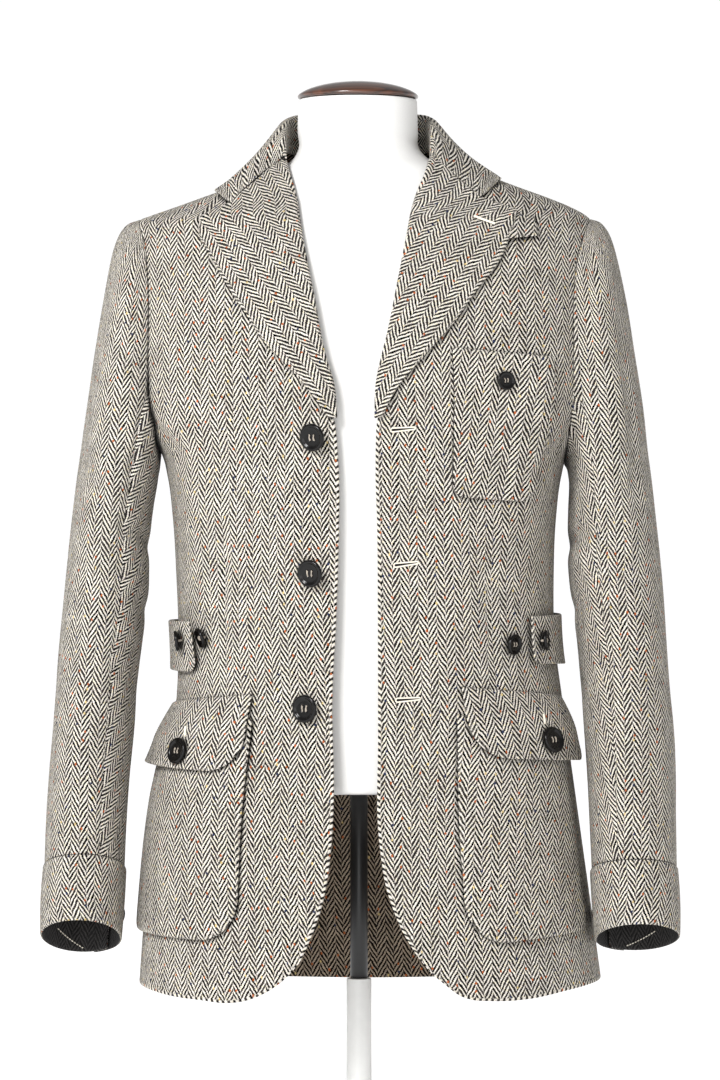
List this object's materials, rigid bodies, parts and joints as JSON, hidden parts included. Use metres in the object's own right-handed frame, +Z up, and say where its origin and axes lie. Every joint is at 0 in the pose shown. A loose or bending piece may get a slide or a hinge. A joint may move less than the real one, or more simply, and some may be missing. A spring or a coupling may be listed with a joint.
{
  "type": "tweed safari jacket on a limbless dress form",
  "caption": "Herringbone tweed safari jacket with flapped bellows pockets, hanging open on a white limbless dress form with a wooden neck cap and a round base.",
  "frame": {"origin": "centre of the underside of the round base, on the floor", "axes": "+Z up, -Y towards the jacket's front, +X towards the wearer's left"},
  "size_m": [0.5799, 0.32, 0.9621],
  "materials": {
    "tweed": "woven wool herringbone",
    "horn": "polished",
    "cover": "stretched plain cover",
    "wood": "varnished",
    "steel": "satin black",
    "lacquer": "satin white"
  },
  "bodies": {
    "root": {"back": "tweed", "front_left": "tweed", "front_right": "tweed", "lapel_left": "tweed", "lapel_right": "tweed", "collar": "tweed", "top_sleeve_left": "tweed", "top_sleeve_right": "tweed", "under_sleeve_left": "tweed", "under_sleeve_right": "tweed", "pocket_chest": "tweed", "pocket_left": "tweed", "pocket_right": "tweed", "flap_left": "tweed", "flap_right": "tweed", "tab_left": "tweed", "tab_right": "tweed", "throat_tab": "tweed", "cuff_left": "tweed", "cuff_right": "tweed", "button_front_top": "horn", "button_front_middle": "horn", "button_front_bottom": "horn", "button_chest": "horn", "button_flap_left": "horn", "button_flap_right": "horn", "button_tab_left": "horn", "button_tab_right": "horn", "button_waist_left": "horn", "button_waist_right": "horn", "button_cuff_left": "horn", "button_cuff_right": "horn", "form_torso": "cover", "neck_cap": "wood", "stand_rod": "steel", "stand_base": "lacquer"}
  },
  "joints": []
}
